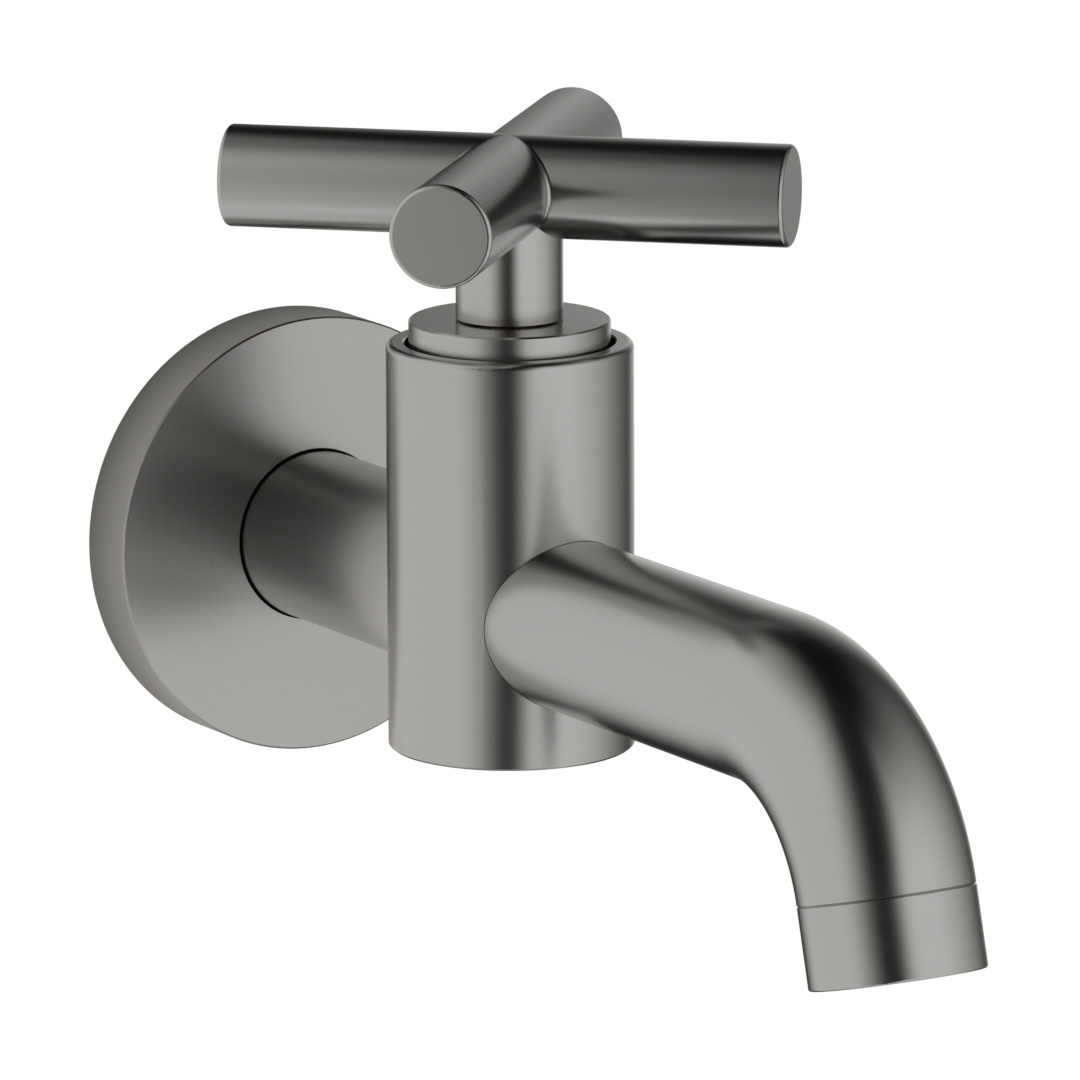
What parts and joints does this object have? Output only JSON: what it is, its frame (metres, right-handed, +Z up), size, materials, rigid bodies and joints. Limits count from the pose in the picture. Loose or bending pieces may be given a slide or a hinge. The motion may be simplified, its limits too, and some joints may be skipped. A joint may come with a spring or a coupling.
{
  "type": "wall-mounted basin tap",
  "caption": "Wall-mounted basin tap: round rosette, level inlet, upright valve body, spout that bends down to an aerator, and a cross handle that turns a quarter turn.",
  "frame": {"origin": "on the inlet thread's axis, where it crosses the wall plane at the rosette's back edge", "axes": "+Z up, +Y into the wall along the inlet pipe (the tap stands out along -Y), +X to the right for someone who faces the wall"},
  "size_m": [0.069, 0.1921, 0.1061],
  "materials": {
    "graphite_finish": "satin brushed dark grey plating over brass",
    "bare_brass": "turned, bare",
    "disc_ceramic": "lapped alumina",
    "seal_rubber": "moulded",
    "foam": "closed-cell foam, die-cut",
    "aerator_plastic": "moulded acetal",
    "insert_plastic": "moulded acetal",
    "stainless_steel": "plain"
  },
  "bodies": {
    "tap_body": {"wall_seal_ring": "foam", "wall_rosette": "graphite_finish", "rosette_oring": "seal_rubber", "inlet_pipe": "graphite_finish", "valve_body": "graphite_finish", "spout_tube": "graphite_finish", "aerator_sleeve": "graphite_finish", "aerator_seal": "seal_rubber", "aerator_housing": "aerator_plastic", "aerator_screen": "stainless_steel", "aerator_jet_plate": "aerator_plastic", "aerator_honeycomb": "aerator_plastic", "headpart_body": "bare_brass", "headpart_oring": "seal_rubber", "seat_seal": "seal_rubber", "fixed_ceramic_disc": "disc_ceramic", "bonnet_cover": "graphite_finish", "cover_oring": "seal_rubber"},
    "handle": {"moving_ceramic_disc": "disc_ceramic", "spindle": "bare_brass", "spindle_orings": "seal_rubber", "slide_washer": "insert_plastic", "spindle_clip": "stainless_steel", "spline_insert": "insert_plastic", "grub_screw": "stainless_steel", "handle_cross": "graphite_finish"}
  },
  "joints": [
    {"name": "handle_turn", "type": "hinge", "parent": "tap_body", "child": "handle", "pos_m": [0, -0.0667, 0], "axis": [0, 0, 1], "range_deg": [0, 90]}
  ]
}
